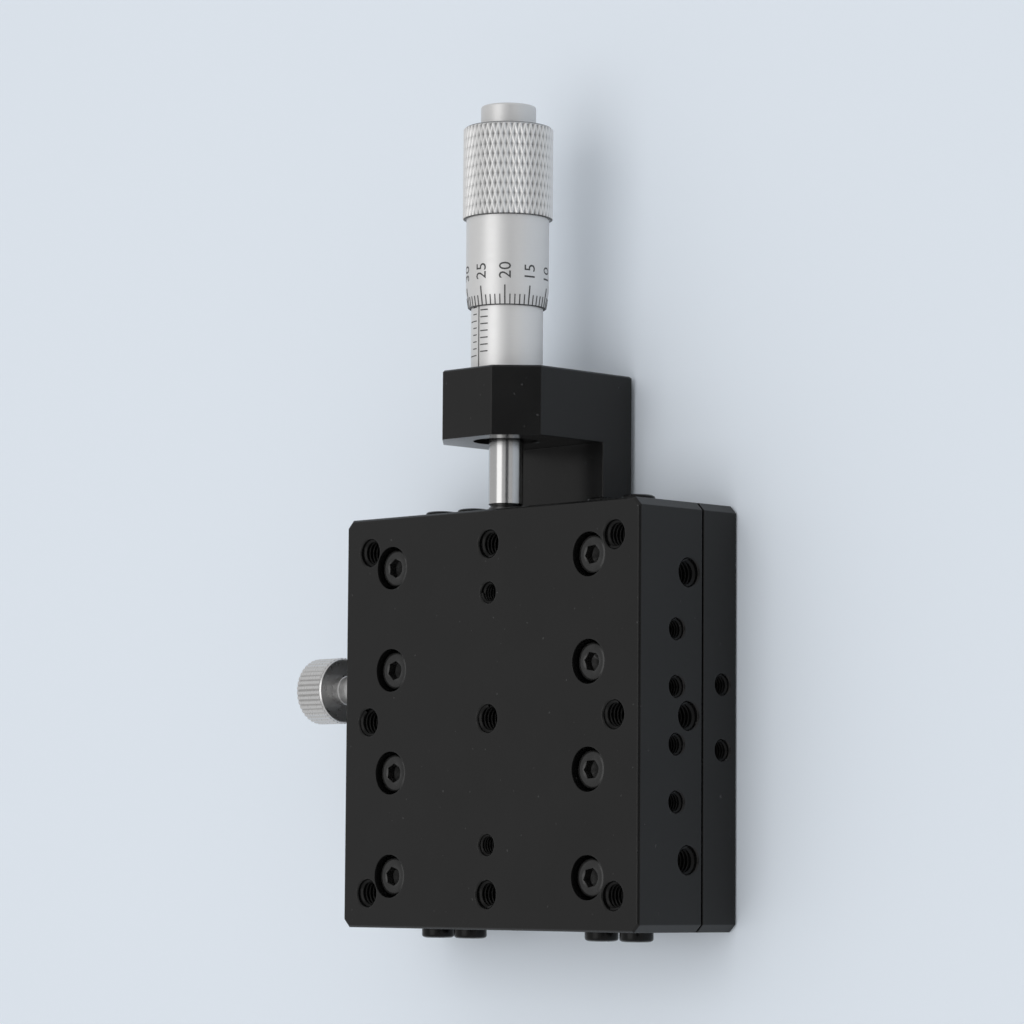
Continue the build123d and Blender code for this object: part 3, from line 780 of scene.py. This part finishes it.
def tapped(name, major, pitch, depth, start):
    """The inside of a tapped hole, down from z = -start."""
    minor = major - 0.5413 * pitch
    profile = [
        (major, 0), (major, 0.125), (minor, 0.4375), (minor, 0.6875), (major, 1.0)
    ]
    points = [Vector((r, 0, -start - share * pitch)) * MM for r, share in profile]
    thread = start_line(name, points)
    apply(
        thread,
        "SCREW",
        axis="Z",
        angle=TURN,
        screw_offset=-pitch * MM,
        iterations=int((depth - start) / pitch),
        steps=28,
        render_steps=28,
        use_merge_vertices=True,
        merge_threshold=0.002 * MM,
    )
    with editing(thread):
        bpy.ops.mesh.normals_make_consistent(inside=True)
    inward = sum(
        f.normal.x * f.center.x + f.normal.y * f.center.y for f in thread.data.polygons
    )
    if inward > 0:
        with editing(thread):
            bpy.ops.mesh.flip_normals()
    smooth(thread, 25)
    return thread


def make_threads():
    """Threads in all the holes that are left open for the user."""
    m4 = tapped("m4_thread", 1.99, 0.7, 5.6, 0.12)
    m4_side = tapped("m4_side_thread", 1.99, 0.7, 3.1, 0.12)
    m3 = tapped("m3_thread", 1.49, 0.5, 4.8, 0.12)
    m4_base = tapped("m4_base_thread", 1.99, 0.7, 6.7, 0.12)
    places = []
    for side in (-1, 0, 1):
        x = side * M4_CORNER
        for y in (-M4_CORNER, 0, M4_CORNER):
            places.append((m4, "table", (x, y, STAGE_TOP), about("Z", 7 * x + y)))
        place = (side * SIDE_M4_X, -STAGE_END, RAIL_MIDDLE)
        places.append((m4_side, "table", place, about("X", 90)))
    for x in (-M3_PAIR_X, M3_PAIR_X):
        places.append((m3, "table", (x, 0, STAGE_TOP), about("Z", 5 * x)))
    for x in SIDE_M3_X:
        places.append((m3, "table", (x, -STAGE_END, SIDE_M3_HEIGHT), about("X", 90)))
    for x in BASE_SIDE_X:
        places.append((m3, "base", (x, -STAGE_END, BASE_SIDE_HEIGHT), about("X", 90)))
    for x in (-M4_CORNER, M4_CORNER):
        for y in (-M4_CORNER, M4_CORNER):
            places.append((m4_base, "base", (x, y, 0), about("X", 180)))
    for i, (source, body, place, turn) in enumerate(places):
        hole = placed(source, f"{source.name}_{i + 1}", place, turn)
        # The threads take the dimmer anodising copy: painted shade.
        fit(hole, body, "black_anodised", shaded_thread_black)
    discard(m4, m4_side, m3, m4_base)


make_threads()


# ------------------------------------------------------------------------- lock


def make_lock():
    """The turned screw neck and the straight-knurled knob, drawn along X, then turned to Y."""
    teeth, outer, root, steps = 40, 4.95, 4.72, 8
    near, far = 38.6, 44.15
    knob = turned(
        "knob_blank",
        [
            (near + 0.5, 0), (near + 0.5, 4.6), (near + 0.03, 4.64), (near, 4.68),
            (near + 0.02, 4.76), (near + 0.26, 4.89), (near + 0.27, outer),
            (far - 0.3, outer), (far, 4.6), (far, 3.6), (far - 0.15, 3.45), (far - 0.15, 0),
        ],
        steps=steps * teeth,
        height=0,
    )

    def at_step(vertex, *wanted):
        radius = math.hypot(vertex.co.y, vertex.co.z) / MM
        step = round(math.atan2(vertex.co.y, vertex.co.z) / TURN * steps * teeth) % steps
        return abs(radius - outer) < 0.01 and step in wanted

    with editing(knob):
        pick(knob, "VERT", lambda v: at_step(v, 1, steps - 1))
        share = (outer + root) / 2 / outer
        bpy.ops.transform.resize(value=(1, share, share), center_override=(0, 0, 0))
        pick(knob, "VERT", lambda v: at_step(v, 0))
        share = root / outer
        bpy.ops.transform.resize(value=(1, share, share), center_override=(0, 0, 0))
    smooth(knob, 20)
    neck = turned(
        "neck_blank",
        [
            (24.5, 0), (24.5, 1.25), (24.8, 1.45), (33.2, 1.45), (33.3, 2.2), (33.4, 2.3),
            (36.2, 2.3), (36.3, 2.2), (36.35, 2.15), (37.6, 2.15), (37.64, 2.2), (37.7, 2.24),
            (37.78, 2.24), (37.84, 2.16), (37.9, 2.08), (39.12, 2.08), (39.12, 0),
        ],
        steps=64,
        height=0,
    )
    for source, name, node in (
        (knob, "lock_knob_knurled", "lock_knob"),
        (neck, "lock_screw_turned", "lock_screw"),
    ):
        made = placed(source, name, (LOCK_X, 0, LOCK_HEIGHT), about("Z", 90))
        fit(made, "lock", "turned_knob_steel", knob_steel, node)
    discard(knob, neck)


make_lock()


# ---------------------------------------------------------------- return springs


def make_springs():
    """Two drawn coils with a loop at each end, stretched between base and table."""
    wire, coil, height = 0.2, 1.3, 10.2
    start, end, turns = -18.75, 20.75, 46
    deselect_all()
    bpy.ops.mesh.primitive_circle_add(
        vertices=8, radius=wire * MM, location=(start * MM, 0, (height + coil) * MM),
        rotation=(math.pi / 2, 0, 0),
    )
    spring = bpy.context.object
    bpy.ops.object.transform_apply()
    with editing(spring):
        bpy.ops.transform.translate(value=(0, 0, -height * MM))
    apply(
        spring, "SCREW", axis="X", angle=TURN, screw_offset=(end - start) / turns * MM,
        iterations=turns, steps=14, render_steps=14, use_merge_vertices=True,
        merge_threshold=0.002 * MM,
    )
    with editing(spring):
        bpy.ops.transform.translate(value=(0, 0, height * MM))
    loops = []
    for x in (TABLE_POST_X, BASE_POST_X):
        deselect_all()
        bpy.ops.mesh.primitive_torus_add(
            major_segments=28, minor_segments=8, major_radius=1.05 * MM, minor_radius=wire * MM,
            location=(x * MM, 0, height * MM),
        )
        loops.append(bpy.context.object)
        bpy.ops.object.transform_apply()
    spring = joined("spring_model", [spring, *loops])
    with editing(spring):
        bpy.ops.mesh.normals_make_consistent(inside=False)
    smooth(spring, 60)
    for side, name in ((1, "left"), (-1, "right")):
        made = placed(spring, f"return_spring_coil_{name}", (0, side * SPRING_Y, 0))
        made.data.materials.clear()
        made.data.materials.append(spring_wire)
        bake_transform(made)
        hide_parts(f"return_spring_{name}")
    discard(spring)


make_springs()


# -------------------------------------------------------------- floor and light


def make_floor():
    deselect_all()
    bpy.ops.mesh.primitive_plane_add(size=6.0)
    floor = bpy.context.object
    floor.name = "floor"
    made = Finish("pale_floor", Base_Color=(0.8, 0.86, 0.93, 1.0), Roughness=0.7)
    floor.data.materials.append(made.material)


def make_flag():
    """A grey board that stands behind the camera, for contrast on the bright metal."""
    distance, from_zenith = 1.2, math.radians(51)
    deselect_all()
    bpy.ops.mesh.primitive_plane_add(size=1.0)
    flag = bpy.context.object
    flag.name = flag.data.name = "flag"
    flag.scale = (0.75, 0.42, 1.0)
    flag.rotation_euler = (from_zenith, 0, 0)
    flag.location = (0, -distance * math.sin(from_zenith), distance * math.cos(from_zenith))
    flag.visible_camera = False
    flag.data.materials.append(plain("flag_grey", 0.13, rough=0.9))


def make_lamp(name, place, aim, sizes, power):
    data = bpy.data.lights.new(name, "AREA")
    data.energy = power
    data.shape = "RECTANGLE"
    data.size, data.size_y = sizes
    lamp = bpy.data.objects.new(name, data)
    lamp.location = Vector(place)
    lamp.rotation_mode = "QUATERNION"
    lamp.rotation_quaternion = (Vector(aim) - Vector(place)).to_track_quat("-Z", "Y")
    bpy.context.scene.collection.objects.link(lamp)


def make_world():
    world = bpy.data.worlds.new("studio")
    world.use_nodes = True
    background = world.node_tree.nodes["Background"]
    background.inputs["Color"].default_value = (0.98, 0.99, 1.0, 1.0)
    background.inputs["Strength"].default_value = 0.7
    bpy.context.scene.world = world


def make_camera():
    """The lens and stand: a long lens from above one corner, rolled on its side."""
    data = bpy.data.cameras.new("camera")
    data.lens, data.sensor_width = 140.47, 36
    data.clip_start, data.clip_end = 0.01, 20
    camera = bpy.data.objects.new("camera", data)
    right = Vector((0.0071590, -0.7018867, -0.7122526))
    down = Vector((-0.9958385, 0.0597099, -0.0688503))
    forward = Vector((0.0908536, 0.7097815, -0.6985384))
    stand = Matrix((right, -down, -forward)).transposed().to_4x4()
    place = Vector((-22.41678, -408.63419, 417.38927)) * MM
    camera.matrix_world = Matrix.Translation(place) @ stand
    bpy.context.scene.collection.objects.link(camera)
    bpy.context.scene.camera = camera


make_floor()
make_world()
make_flag()
make_lamp("overhead", (0.02, 0.0, 0.8), (0.02, 0, 0.01), (0.8, 0.5), 1.65)
make_camera()
bpy.context.scene.view_settings.view_transform = "Standard"
